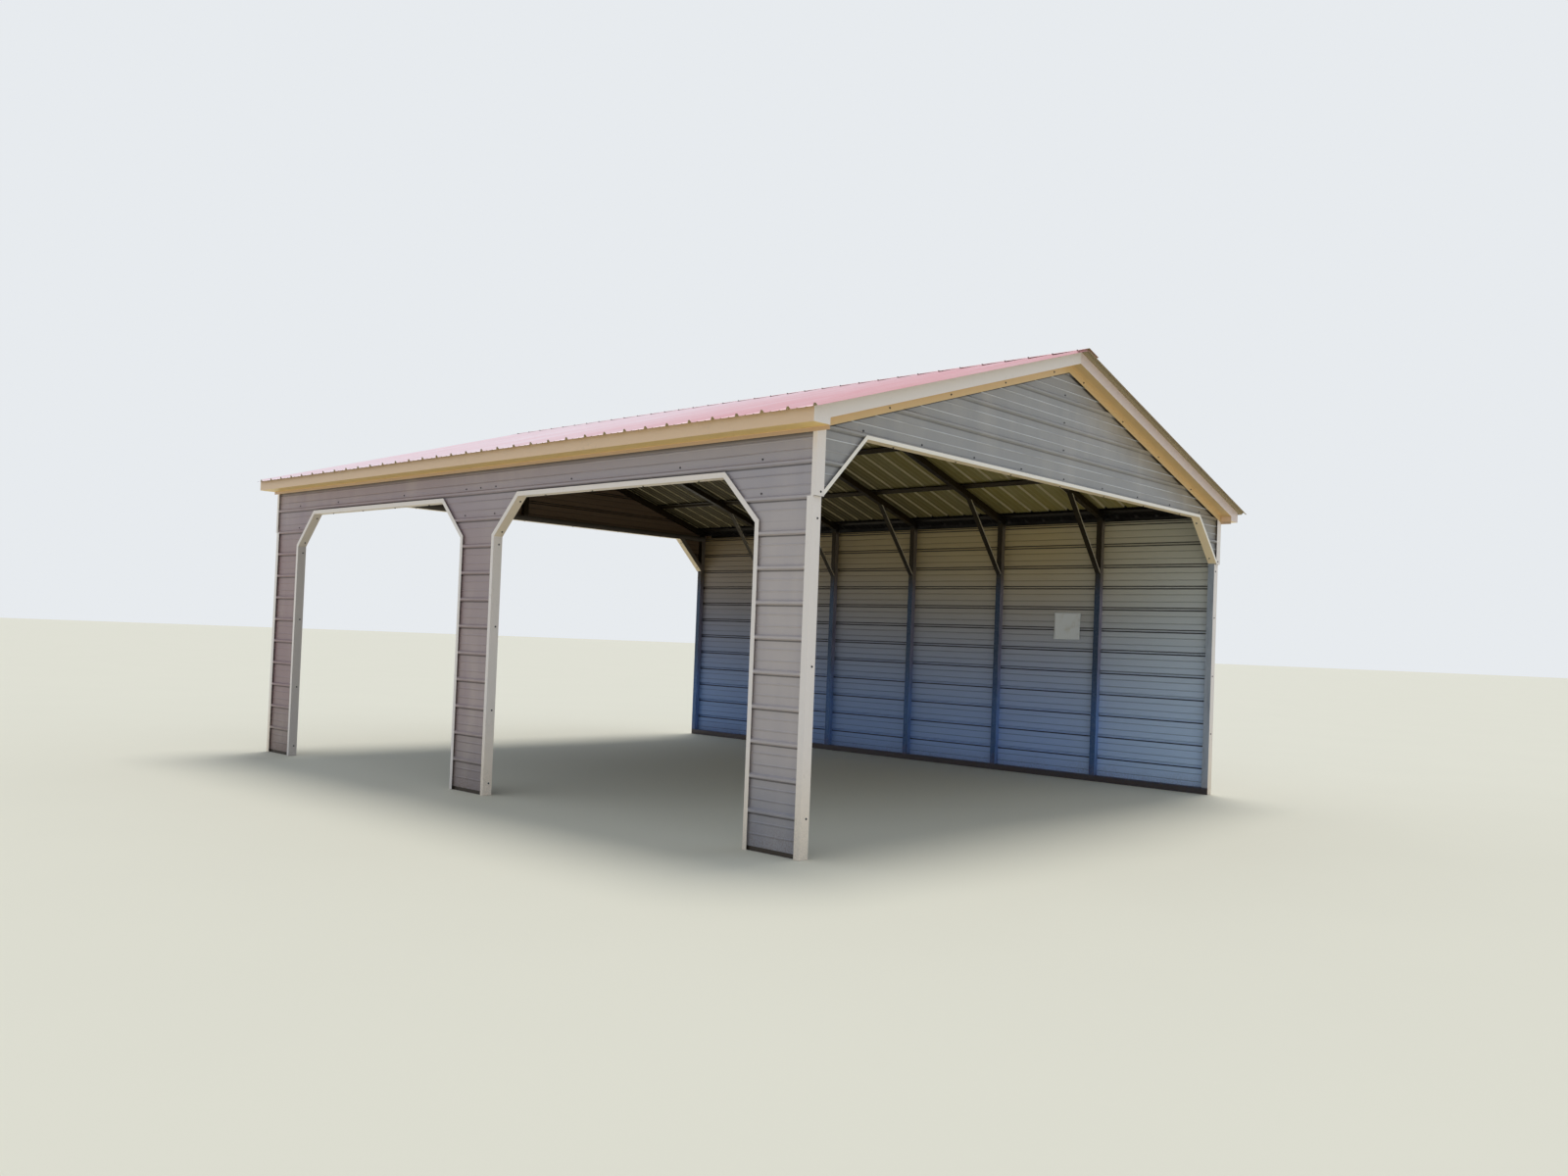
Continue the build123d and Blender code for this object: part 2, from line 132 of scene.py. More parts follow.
# Painted shade deeper under the roof
ROOF_BACK_SHADE_REAR = (0.060, 0.042, 0.010, 1.0)
ROOF_BACK_PALE = (0.300, 0.250, 0.100, 1.0)
# Painted light on the underside's rib sides
ROOF_BACK_RIB_LIGHT = (0.520, 0.440, 0.260, 1.0)
# Painted light on the underside past the rakes
ROOF_BACK_EDGE_LIGHT = (0.360, 0.285, 0.170, 1.0)
# Painted light and shade on the galvanised steel: blue sky reflection low down, brown shade under the roof,
# lit copies for the sides that face the front, and a grey copy low on the left
STEEL_LOW_SKY_REFLECTION = (0.033, 0.090, 0.230, 1.0)
STEEL_LOW_LIT = (0.250, 0.390, 0.680, 1.0)
STEEL_MIDDLE_SHADE = (0.022, 0.045, 0.090, 1.0)
STEEL_MIDDLE_LIT = (0.360, 0.335, 0.440, 1.0)
STEEL_LOW_LEFT = (0.110, 0.122, 0.145, 1.0)
STEEL_HIGH_SHADE = (0.034, 0.022, 0.008, 1.0)
STEEL_HIGH_LIT = (0.240, 0.205, 0.175, 1.0)
BRACE_LIT = (0.720, 0.650, 0.540, 1.0)
STEEL_DARK = (0.034, 0.054, 0.100, 1.0)
STEEL_PALE = (0.420, 0.460, 0.520, 1.0)
DUST = (0.930, 0.790, 0.640, 1.0)
SOIL = (0.170, 0.110, 0.060, 1.0)
SOIL_DARK = (0.060, 0.045, 0.030, 1.0)
RUST = (0.200, 0.070, 0.025, 1.0)
SCREW = (0.030, 0.028, 0.028, 1.0)
PAPER = (0.880, 0.880, 0.870, 1.0)
PAPER_STAIN = (0.680, 0.640, 0.550, 1.0)
FLOOR = (0.700, 0.655, 0.520, 1.0)
FLOOR_DIM = (0.67900, 0.63535, 0.50440, 1.0)
SKY = (0.780, 0.900, 1.080, 1.0)
BACKDROP = (0.800, 0.830, 0.860, 1.0)


# Heights on the carport, by distance from its middle


def rafter_bottom(x):
    return COLUMN_HEIGHT + RISE_PER_RUN * (HALF_WIDTH - abs(x))


def pan_bottom(x):
    return rafter_bottom(x) + (TUBE + PURLIN_HEIGHT) / SLOPE_COS


def fascia_bottom(x):
    return pan_bottom(x) - FASCIA_DEPTH


# Shader nodes

X, Y, Z = 0, 1, 2


def feed(tree, socket, value):
    """Link a socket, or set a plain value."""
    if isinstance(value, bpy.types.NodeSocket):
        tree.links.new(value, socket)
    else:
        socket.default_value = value


def texture(tree, kind, vector, **values):
    """A texture laid out by a vector, with its other inputs by name."""
    node = tree.nodes.new(kind)
    tree.links.new(vector, node.inputs["Vector"])
    for name, value in values.items():
        feed(tree, node.inputs[name], value)
    return node


def noise(tree, vector, scale, detail, roughness):
    node = texture(tree, "ShaderNodeTexNoise", vector, Scale=scale, Detail=detail, Roughness=roughness)
    return node.outputs[0]


def compute(tree, operation, first, second=0.0):
    node = tree.nodes.new("ShaderNodeMath")
    node.operation = operation
    feed(tree, node.inputs[0], first)
    feed(tree, node.inputs[1], second)
    return node.outputs[0]


def times(tree, first, second):
    return compute(tree, "MULTIPLY", first, second)


def rising(tree, start, step, share):
    """The start value, and a share of the step on top."""
    return compute(tree, "ADD", start, times(tree, share, step))


def between(tree, value, low, high):
    """0 at the low value and 1 at the high one, smooth between them."""
    node = tree.nodes.new("ShaderNodeMapRange")
    node.interpolation_type = "SMOOTHSTEP"
    for name, number in (("Value", value), ("From Min", low), ("From Max", high)):
        feed(tree, node.inputs[name], number)
    return node.outputs[0]


def layer(tree, share, under, over):
    """One colour over another, by a share."""
    node = tree.nodes.new("ShaderNodeMix")
    node.data_type = "RGBA"
    colours = [socket for socket in node.inputs if socket.type == "RGBA"]
    feed(tree, node.inputs[0], share)
    feed(tree, colours[0], under)
    feed(tree, colours[1], over)
    return [socket for socket in node.outputs if socket.type == "RGBA"][0]


def stretched(tree, vector, x, y, z):
    node = tree.nodes.new("ShaderNodeMapping")
    tree.links.new(vector, node.inputs["Vector"])
    node.inputs["Scale"].default_value = (x, y, z)
    return node.outputs[0]


def bump(tree, height, distance, strength, normal=None):
    node = tree.nodes.new("ShaderNodeBump")
    node.inputs["Distance"].default_value = distance
    node.inputs["Strength"].default_value = strength
    tree.links.new(height, node.inputs["Height"])
    if normal is not None:
        tree.links.new(normal, node.inputs["Normal"])
    return node.outputs[0]


def split_axes(tree, vector):
    """The x, y and z of a vector."""
    node = tree.nodes.new("ShaderNodeSeparateXYZ")
    tree.links.new(vector, node.inputs[0])
    return node.outputs


def start_material(name):
    """A new material, its nodes, its shader and the place on the carport."""
    material = bpy.data.materials.new(name)
    material.use_nodes = True
    tree = material.node_tree
    place = tree.nodes.new("ShaderNodeTexCoord").outputs["Object"]
    return material, tree, tree.nodes["Principled BSDF"], place


def finish_surface(tree, shader, colour, roughness, normal=None):
    feed(tree, shader.inputs["Base Color"], colour)
    feed(tree, shader.inputs["Roughness"], roughness)
    if normal is not None:
        feed(tree, shader.inputs["Normal"], normal)


# Places as seen by a material


def outward(tree, axis):
    """A face's outward direction along one axis."""
    return split_axes(tree, tree.nodes.new("ShaderNodeNewGeometry").outputs["Normal"])[axis]


def facing_share(tree, axis, low, high):
    """How far a face's outward direction has turned from low to high along one axis."""
    return between(tree, outward(tree, axis), low, high)


def inward_share(tree, axes, axis):
    """1 on the faces of a wall or eave that look towards the carport's middle."""
    return between(tree, times(tree, outward(tree, axis), axes[axis]), 0.0, -1.0)


def off_rib(tree, along, first_rib):
    """Distance from the nearest rib's middle, before it negative."""
    turns = compute(tree, "DIVIDE", compute(tree, "SUBTRACT", along, first_rib), RIB_PITCH)
    nearest = compute(tree, "ROUND", turns)
    return times(tree, compute(tree, "SUBTRACT", turns, nearest), RIB_PITCH)


def line_at(tree, distance, middle, reach):
    """1 around one distance and 0 further than the reach from it."""
    core = 0.4
    off = compute(tree, "ABSOLUTE", compute(tree, "SUBTRACT", distance, middle))
    return between(tree, off, reach, reach * core)


def up_slope(tree, axes):
    """Height brought to the ridge's line along the roof's slope."""
    rise = times(tree, compute(tree, "ABSOLUTE", axes[X]), RISE_PER_RUN)
    return compute(tree, "ADD", axes[Z], rise)


def on_left(tree, axes):
    return between(tree, axes[X], 0.1, -0.1)


def near_ground(tree, axes):
    return between(tree, axes[Z], 0.9, 0.1)


def on_jambs(tree, axes):
    """1 on the jambs' sides that face the front."""
    return facing_share(tree, Y, -0.5, -0.9)


def on_gables(tree, axes):
    """1 on the rakes' flanges, which lie on the gables."""
    front = between(tree, axes[Y], FRAME_FRONT - 0.06, FRAME_FRONT - 0.04)
    rear = between(tree, axes[Y], FRAME_REAR + 0.06, FRAME_REAR + 0.04)
    return compute(tree, "MINIMUM", front, rear)


def in_eaves(tree, axes):
    """1 inside the boxed eaves, where no light gets in, less on their shaded lips, and 0 at the open ends."""
    margin = 0.01
    lip_share = 0.22
    inner = compute(tree, "MAXIMUM", inward_share(tree, axes, X), facing_share(tree, Z, 0.3, 0.8))
    front = between(tree, axes[Y], FRAME_FRONT - margin, FRAME_FRONT + margin)
    rear = between(tree, axes[Y], FRAME_REAR + margin, FRAME_REAR - margin)
    soffit = fascia_bottom(EAVE_FACE)
    lip = times(tree, between(tree, axes[Z], soffit - 0.001, soffit - 0.004), lip_share)
    return compute(tree, "MAXIMUM", lip, times(tree, inner, times(tree, front, rear)))


def over_walls(tree, axes):
    """1 above the side walls, where the eaves keep the light out, but not on the left eave's rib ends."""
    outer = between(tree, compute(tree, "ABSOLUTE", axes[X]), 2.97, 3.00)
    return times(tree, outer, between(tree, axes[X], -EAVE_FACE + 0.005, -EAVE_FACE + 0.015))


def on_braces(tree, axes):
    """1 on the knee braces: inside the columns, under the rafters and before the last bow."""
    off, clear = 0.001, 0.003
    last_bow = FRAME_REAR - TUBE
    inside = between(tree, compute(tree, "ABSOLUTE", axes[X]), COLUMN_INNER - off, COLUMN_INNER - clear)
    below = between(tree, up_slope(tree, axes), rafter_bottom(0) - off, rafter_bottom(0) - clear)
    before = between(tree, axes[Y], last_bow - 0.01, last_bow - 0.02)
    return times(tree, before, times(tree, inside, below))


def ground_dirt(tree, place, height, reach):
    """Share of soil splashed up from the ground, uneven along its edge."""
    coarse = noise(tree, place, scale=5.0, detail=6.0, roughness=0.65)
    specks = noise(tree, place, scale=90.0, detail=3.0, roughness=0.6)
    level = compute(tree, "SUBTRACT", height, times(tree, coarse, reach))
    low = between(tree, level, reach / 2, -reach / 2)
    return times(tree, low, between(tree, specks, 0.38, 0.62))


# Materials


def wall_colours(tree, axes):
    """The side walls' colours outside and inside, with painted light and shade, and where the inner one is.
    """
    eave_shade_share = 0.35
    shadow_share = 0.75
    lip_edge = fascia_bottom(EAVE_FACE) - EAVE_LIP
    along, height = axes[Y], axes[Z]
    rearward = between(tree, along, -3.6, 2.4)
    outside = layer(tree, rearward, WALL_FRONT, WALL_REAR)
    low = between(tree, height, 0.75, 0.15)
    outside = layer(tree, low, outside, layer(tree, rearward, WALL_LOW, WALL_LOW_REAR))
    # Painted shade under the eaves on the upper wall
    upper = times(tree, between(tree, height, 2.10, 2.50), eave_shade_share)
    outside = layer(tree, upper, outside, layer(tree, rearward, WALL_EAVE_SHADE, WALL_EAVE_SHADE_REAR))
    shadow = times(tree, between(tree, height, lip_edge - 0.030, lip_edge - 0.004), shadow_share)
    outside = layer(tree, shadow, outside, EAVE_SHADOW)
    # Inside: painted blue sky reflection low down and painted warm bounce light high up, darker towards the
    # rear as painted shade
    high = between(tree, height, 0.2, 2.7)
    front = layer(tree, high, INSIDE_FRONT_LOW, INSIDE_FRONT_HIGH)
    middle = layer(tree, high, INSIDE_MIDDLE_LOW, INSIDE_MIDDLE_HIGH)
    rear = layer(tree, high, INSIDE_REAR_LOW, INSIDE_REAR_HIGH)
    inside = layer(tree, between(tree, along, -3.5, -1.6), front, middle)
    inside = layer(tree, between(tree, along, -1.6, 3.7), inside, rear)
    inside = layer(tree, on_left(tree, axes), inside, INSIDE_LEFT)
    inside = layer(tree, between(tree, height, 2.795, 2.810), inside, UNLIT)
    return outside, inside, inward_share(tree, axes, X)


def gable_colours(tree, axes):
    """The gables' colours outside and inside, with painted shade under the rakes, and where the inner one is.
    """
    rake_shade_reach = 0.35
    shadow_share = 0.85
    flange_edge = fascia_bottom(0) - RAKE_FLANGE
    height = up_slope(tree, axes)
    # Painted warm shade under the rakes, most on the right half
    near_rake = between(tree, height, flange_edge - rake_shade_reach, flange_edge)
    rake_shade = times(tree, near_rake, between(tree, axes[X], -0.6, 1.2))
    outside = layer(tree, rake_shade, GABLE_GREY, GABLE_RAKE_SHADE)
    shadow = times(tree, between(tree, height, flange_edge - 0.012, flange_edge - 0.006), shadow_share)
    return layer(tree, shadow, outside, UNLIT), GABLE_INSIDE, inward_share(tree, axes, Y)


def outer_siding(tree, place, height, rib, ridges, paint, foot_share, ridge_lighting, ridge_share):
    """The paint with its dust, a painted shadow line under each rib and painted ridge lines in a given
    highlight or shade colour, clearest near both ends.
    """
    dust_share = 0.2
    faint_share = 0.35
    wide = noise(tree, place, scale=0.9, detail=3.0, roughness=0.5)
    streaks = noise(tree, stretched(tree, place, 4.0, 4.0, 0.8), scale=1.2, detail=4.0, roughness=0.5)
    dust = times(tree, between(tree, wide, 0.3, 0.8), between(tree, streaks, 0.3, 0.8))
    colour = layer(tree, times(tree, dust, dust_share), paint, DUST)
    # Painted shadow line under each rib
    foot = line_at(tree, rib, middle=-0.021, reach=0.007)
    colour = layer(tree, times(tree, foot, foot_share), colour, SHADOW_LINE)
    # Breaks in the painted ridge lines
    line_breaks = noise(tree, stretched(tree, place, 1.0, 1.0, 9.0), scale=1.6, detail=3.0, roughness=0.6)
    ends = compute(tree, "MAXIMUM", between(tree, height, 0.9, 0.5), between(tree, height, 2.2, 2.5))
    clear = rising(tree, start=faint_share, step=1 - faint_share, share=ends)
    seen = times(tree, times(tree, ridges, between(tree, line_breaks, 0.25, 0.6)), clear)
    return layer(tree, times(tree, seen, ridge_share), colour, ridge_lighting)


def inner_siding(tree, height, rib, ridges, paint):
    """The paint with painted shade lines beside the ribs, the upper ones only higher up, and fainter painted
    shade lines at the ridges.
    """
    ridge_share = 0.45
    darkest = 0.95
    # Painted shade in the ribs' hollows
    lower = line_at(tree, rib, middle=-0.016, reach=0.009)
    upper = times(tree, line_at(tree, rib, middle=0.011, reach=0.007), between(tree, height, 0.8, 1.5))
    lines = compute(tree, "ADD", compute(tree, "ADD", lower, upper), times(tree, ridges, ridge_share))
    return layer(tree, compute(tree, "MINIMUM", lines, darkest), paint, UNLIT)


def siding_material(name, colours, foot_share, ridge_lighting, ridge_share):
    """Ribbed siding's paint, with painted lines of shade and highlight where the ribs and fine ridges meet
    the pans.
    """
    ridge_reach = 0.005
    dirt_share = 0.40
    material, tree, shader, place = start_material(name)
    axes = split_axes(tree, place)
    outside, inside, inner_face = colours(tree, axes)
    rib = off_rib(tree, axes[Z], SIDING_FIRST_RIB)
    above = line_at(tree, rib, RIDGE_AT, ridge_reach)
    below = line_at(tree, rib, -RIDGE_AT, ridge_reach)
    ridges = compute(tree, "ADD", above, below)
    outside = outer_siding(
        tree, place, axes[Z], rib, ridges, outside, foot_share, ridge_lighting, ridge_share)
    inside = inner_siding(tree, axes[Z], rib, ridges, inside)
    dirt = ground_dirt(tree, place, axes[Z], reach=0.24)
    colour = layer(tree, inner_face, outside, inside)
    colour = layer(tree, times(tree, dirt, dirt_share), colour, SOIL)
    waves = noise(tree, stretched(tree, place, 1.2, 1.2, 3.0), scale=1.7, detail=2.0, roughness=0.5)
    grain = noise(tree, place, scale=260.0, detail=2.0, roughness=0.5)
    normal = bump(tree, waves, distance=0.010, strength=0.35)
    normal = bump(tree, grain, distance=0.0004, strength=0.3, normal=normal)
    roughness = rising(tree, start=0.40, step=0.45, share=dirt)
    finish_surface(tree, shader, colour, roughness, normal)
    return material


def trim_material(name, upright, under, underside_light_share, elsewhere, elsewhere_at):
    """Folded trims' paint: one colour upright, painted warm bounce light on sides that look down, and one
    somewhere else.
    """
    smudge_share = 0.35
    soil_share = 0.20
    material, tree, shader, place = start_material(name)
    axes = split_axes(tree, place)
    blotches = noise(tree, place, scale=2.3, detail=5.0, roughness=0.6)
    specks = noise(tree, place, scale=45.0, detail=4.0, roughness=0.7)
    smudge = times(tree, between(tree, blotches, 0.5, 0.8), between(tree, specks, 0.45, 0.75))
    soil = ground_dirt(tree, place, axes[Z], reach=0.30)
    dirt = compute(tree, "ADD", times(tree, smudge, smudge_share), times(tree, soil, soil_share))
    # Painted warm bounce light on the sides that look down
    down = times(tree, facing_share(tree, Z, 0.1, -0.8), underside_light_share)
    colour = layer(tree, down, upright, under)
    colour = layer(tree, elsewhere_at(tree, axes), colour, elsewhere)
    colour = layer(tree, dirt, colour, TRIM_DIRT)
    waves = noise(tree, place, scale=2.6, detail=2.0, roughness=0.5)
    normal = bump(tree, waves, distance=0.006, strength=0.3)
    roughness = rising(tree, start=0.38, step=0.40, share=dirt)
    finish_surface(tree, shader, colour, roughness, normal)
    return material


def roof_top(tree, place, axes):
    """Red paint with painted glare that grows towards the rear, most on the ribs' front sides, and faded in
    patches.
    """
    patch_share = 0.25
    fading = noise(tree, stretched(tree, place, 0.5, 2.5, 0.5), scale=1.3, detail=5.0, roughness=0.6)
    # Painted glare, strongest on the ribs' front sides and growing towards the rear
    front_side_glare = rising(tree, start=0.15, step=0.60, share=facing_share(tree, Y, -0.1, -0.4))
    rearward = times(tree, between(tree, axes[Y], -4.8, 0.5), front_side_glare)
    patches = times(tree, between(tree, fading, 0.35, 0.75), patch_share)
    return layer(tree, compute(tree, "ADD", rearward, patches), ROOF_RED, ROOF_FADED_AND_GLARE)


def roof_back(tree, place, axes):
    """The backing coat's olive: painted shade to the rear, painted light on the ribs' front sides and past
    the rakes, and painted shade over the walls.
    """
    ridge_share = 0.30
    margin = 0.01
    front_rake = FRAME_FRONT - RAKE_REACH_FRONT
    rear_rake = FRAME_REAR + RAKE_REACH_REAR
    patches = noise(tree, stretched(tree, place, 0.7, 3.0, 0.7), scale=1.1, detail=3.0, roughness=0.5)
    colour = layer(tree, between(tree, patches, 0.3, 0.8), ROOF_BACK, ROOF_BACK_PALE)
    # Painted shade deeper under the roof
    colour = layer(tree, between(tree, axes[Y], -2.4, 1.6), colour, ROOF_BACK_SHADE_REAR)
    off = compute(tree, "ABSOLUTE", off_rib(tree, axes[Y], ROOF_FRONT + ROOF_FIRST_RIB))
    on_ribs = compute(tree, "MAXIMUM", between(tree, off, 0.035, 0.024), ridge_share)
    # Painted light on the ribs' sides that face the open front
    pale = times(tree, facing_share(tree, Y, -0.2, -0.5), on_ribs)
    colour = layer(tree, pale, colour, ROOF_BACK_RIB_LIGHT)
    colour = layer(tree, over_walls(tree, axes), colour, UNLIT)
    # Painted light on the overhang past the rakes
    past_front = between(tree, axes[Y], front_rake + margin, front_rake)
    past_rear = between(tree, axes[Y], rear_rake - margin, rear_rake)
    return layer(tree, compute(tree, "ADD", past_front, past_rear), colour, ROOF_BACK_EDGE_LIGHT)


def roof_material():
    """Glossy faded red with painted glare on top, and a dull backing coat with painted light and shade
    underneath.
    """
    material, tree, shader, place = start_material("roof_paint")
    axes = split_axes(tree, place)
    upward = facing_share(tree, Z, -0.05, 0.05)
    colour = layer(tree, upward, roof_back(tree, place, axes), roof_top(tree, place, axes))
    waves = noise(tree, stretched(tree, place, 1.0, 3.0, 1.0), scale=1.5, detail=2.0, roughness=0.5)
    normal = bump(tree, waves, distance=0.008, strength=0.3)
    roughness = rising(tree, start=0.80, step=-0.44, share=upward)
    finish_surface(tree, shader, colour, roughness, normal)
    return material


def steel_tones(tree, axes, pale_share):
    """Painted blue sky reflection low on the right and painted brown shade under the roof, with painted light
    on the front sides and the braces, and paler below the roof by a share.
    """
    eave_share = 0.8
    height = axes[Z]
    # Painted light on the sides that face the front
    facing = facing_share(tree, Y, -0.5, -0.9)
    front = times(tree, facing, between(tree, height, 2.85, 2.75))
    off_ground = between(tree, height, 0.6, 1.4)
    # Painted blue sky reflection low down, painted shade higher up
    shaded = layer(tree, off_ground, STEEL_LOW_SKY_REFLECTION, STEEL_MIDDLE_SHADE)
    low = layer(tree, front, shaded, layer(tree, off_ground, STEEL_LOW_LIT, STEEL_MIDDLE_LIT))
    low = layer(tree, on_left(tree, axes), low, STEEL_LOW_LEFT)
    high = layer(tree, front, STEEL_HIGH_SHADE, STEEL_HIGH_LIT)
    colour = layer(tree, between(tree, height, 1.90, 2.30), low, high)
    # Painted highlight on the braces' front sides
    colour = layer(tree, times(tree, facing, on_braces(tree, axes)), colour, BRACE_LIT)
    at_eaves = between(tree, compute(tree, "ABSOLUTE", axes[X]), 2.88, 2.93)
    in_shade = times(tree, between(tree, height, 2.80, 2.83), at_eaves)
    colour = layer(tree, times(tree, in_shade, eave_share), colour, UNLIT)
    return layer(tree, times(tree, between(tree, height, 2.5, 2.3), pale_share), colour, STEEL_PALE)


def steel_material(name, pale_share):
    """Galvanised tube, with painted glints on its spangle and dull runs below the roof, and rust and soil at
    the foot.
    """
    metallic_share = 0.55
    glint_share = 0.10
    run_share = 0.6
    rust_share = 0.5
    soil_share = 0.85
    material, tree, shader, place = start_material(name)
    axes = split_axes(tree, place)
    below_roof = between(tree, axes[Z], 2.5, 2.0)
    spangle = texture(tree, "ShaderNodeTexVoronoi", place, Scale=75.0).outputs["Color"]
    flakes = split_axes(tree, spangle)
    # Painted glints of light on the spangle
    glints = times(tree, times(tree, flakes[X], glint_share), below_roof)
    colour = layer(tree, glints, steel_tones(tree, axes, pale_share), STEEL_PALE)
    streaks = noise(tree, stretched(tree, place, 14.0, 14.0, 1.4), scale=1.8, detail=5.0, roughness=0.65)
    runs = times(tree, between(tree, streaks, 0.45, 0.8), run_share)
    colour = layer(tree, times(tree, runs, below_roof), colour, STEEL_DARK)
    rust = ground_dirt(tree, place, axes[Z], reach=0.22)
    colour = layer(tree, times(tree, rust, rust_share), colour, RUST)
    soiled = times(tree, between(tree, axes[Z], 0.08, 0.05), soil_share)
    colour = layer(tree, soiled, colour, SOIL_DARK)
    finish_surface(tree, shader, colour, rising(tree, start=0.38, step=0.20, share=flakes[Y]))
    feed(tree, shader.inputs["Metallic"], metallic_share)
    return material


def screw_material():
    material, tree, shader, place = start_material("screw_paint")
    chips = noise(tree, place, scale=300.0, detail=3.0, roughness=0.6)
    colour = layer(tree, between(tree, chips, 0.6, 0.75), SCREW, STEEL_DARK)
    finish_surface(tree, shader, colour, roughness=0.45)
    return material


def paper_material():
    material, tree, shader, place = start_material("plain_paper")
    stains = noise(tree, place, scale=9.0, detail=5.0, roughness=0.65)
    colour = layer(tree, between(tree, stains, 0.5, 0.85), PAPER, PAPER_STAIN)
    fibres = noise(tree, place, scale=140.0, detail=3.0, roughness=0.6)
    normal = bump(tree, fibres, distance=0.0006, strength=0.3)
    finish_surface(tree, shader, colour, roughness=0.85, normal=normal)
    return material


def floor_material():
    material, tree, shader, place = start_material("studio_floor")
    tone = noise(tree, place, scale=0.6, detail=2.0, roughness=0.5)
    finish_surface(tree, shader, layer(tree, tone, FLOOR, FLOOR_DIM), roughness=0.9)
    return material


# The walls' ridges get painted shade lines and the gables' painted highlight lines
SIDING_PAINT = siding_material(
    "wall_paint", wall_colours, foot_share=0.75, ridge_lighting=SHADOW_LINE, ridge_share=0.40)
GABLE_PAINT = siding_material(
    "gable_paint", gable_colours, foot_share=0.50, ridge_lighting=RIDGE_HIGHLIGHT, ridge_share=0.80)
TRIM_PAINT = trim_material(
    "trim_paint", TRIM_IVORY, TRIM_TAN_BOUNCE_LIGHT, underside_light_share=0.35,
    elsewhere=TRIM_LOW, elsewhere_at=near_ground)
GABLE_TRIM_PAINT = trim_material(
    "gable_trim_paint", GABLE_TRIM_IVORY, TRIM_TAN_BOUNCE_LIGHT, underside_light_share=0.6,
    elsewhere=TRIM_LOW, elsewhere_at=near_ground)
REAR_OPENING_PAINT = trim_material(
    "rear_opening_paint", TRIM_IVORY, TRIM_TAN_BOUNCE_LIGHT, underside_light_share=0.35,
    elsewhere=TRIM_SHADED, elsewhere_at=on_jambs)
# The eaves: painted warm bounce light upright and underneath, painted shade inside the boxed eaves
EAVE_PAINT = trim_material(
    "eave_paint", EAVE_BEIGE_BOUNCE_LIGHT, EAVE_TAN_BOUNCE_LIGHT, underside_light_share=1.0,
    elsewhere=UNLIT, elsewhere_at=in_eaves)
# The rakes' flanges get painted warm bounce light; the right rake is the shaded copy
LEFT_RAKE_PAINT = trim_material(
    "rake_paint", TRIM_IVORY, TRIM_TAN_BOUNCE_LIGHT, underside_light_share=0.9,
    elsewhere=RAKE_FLANGE_TAN_BOUNCE_LIGHT, elsewhere_at=on_gables)
RIGHT_RAKE_PAINT = trim_material(
    "shaded_rake_paint", RAKE_SHADED, TRIM_TAN_BOUNCE_LIGHT_SHADED, underside_light_share=0.9,
    elsewhere=RAKE_FLANGE_TAN_BOUNCE_LIGHT, elsewhere_at=on_gables)

SLOT_MATERIALS = {
    "siding": SIDING_PAINT,
    "trim": TRIM_PAINT,
    "roof": roof_material(),
    "galvanised": steel_material("galvanised_steel", pale_share=0.0),
}

# Nodes, by how their names start, that differ from the others of their slot
OWN_MATERIALS = {
    "gable_front": GABLE_PAINT,
    "gable_rear": GABLE_PAINT,
    "gable_corners": GABLE_PAINT,
    "gable_trim": GABLE_TRIM_PAINT,
    "opening_trim_rear": REAR_OPENING_PAINT,
    "eave": EAVE_PAINT,
    "rake_front_left": LEFT_RAKE_PAINT,
    "rake_rear_left": LEFT_RAKE_PAINT,
    "rake": RIGHT_RAKE_PAINT,
    "frame_1": steel_material("paler_steel", pale_share=0.85),
}
slots = {part["node"]: part["material_slot"] for part in frame["record"]["subparts"]}


def paint_of(name):
    for start, material in OWN_MATERIALS.items():
        if name.startswith(start):
            return material
    return SLOT_MATERIALS[slots[name]]


for name, carried in frame["nodes"].items():
    carried.data.materials.clear()
    carried.data.materials.append(paint_of(name))


# Screws

SCREWS = screw_material()
WASHER_SIDES = 12
HEAD_SIDES = 6
WASHER_RADIUS = 0.0080
WASHER_THICKNESS = 0.0016
WASHER_TAPER = 0.85
HEAD_RADIUS = 0.0052
HEAD_HEIGHT = 0.0045
HEAD_TAPER = 0.9
SCREW_ABOVE_RIB = 0.038
CORNER_SCREWS = (0.12, 0.88)
TUBE_MIDDLE = HALF_WIDTH - TUBE / 2
CLAD_FACE = SHEET + RIB_HEIGHT + TRIM
WALL_RIBS = [SIDING_FIRST_RIB + index * RIB_PITCH for index in range(11)]
GABLE_RIBS = [SIDING_FIRST_RIB + index * RIB_PITCH for index in range(12, 15)]
OPENINGS = [(start, start + SIDE_OPENING_WIDTH) for start in (FIRST_OPENING, SECOND_OPENING)]
ENDS = ((FRAME_FRONT, -1), (FRAME_REAR, 1))


def add_piece(name, mesh, material):
    """Turn finished mesh code into a piece, and give back its mesh."""
    data = bpy.data.meshes.new(name)
    mesh.to_mesh(data)
    mesh.free()
    data.materials.append(material)
    piece = bpy.data.objects.new(name, data)
    bpy.context.scene.collection.objects.link(piece)
    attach(piece, "root")
    return data


def add_prism(mesh, place, turn, sides, radius, start, end, taper):
    """Upright prism with a top and no bottom, turned to face outward."""
    rings = []
    for height, size in ((start, radius), (end, radius * taper)):
        ring = []
        for step in range(sides):
            angle = 2 * math.pi * step / sides
            corner = Vector((size * math.cos(angle), size * math.sin(angle), height))
            ring.append(mesh.verts.new(place + turn @ corner))
        rings.append(ring)
    for step in range(sides):
        after = (step + 1) % sides
        mesh.faces.new((rings[0][step], rings[0][after], rings[1][after], rings[1][step]))
    mesh.faces.new(rings[1])


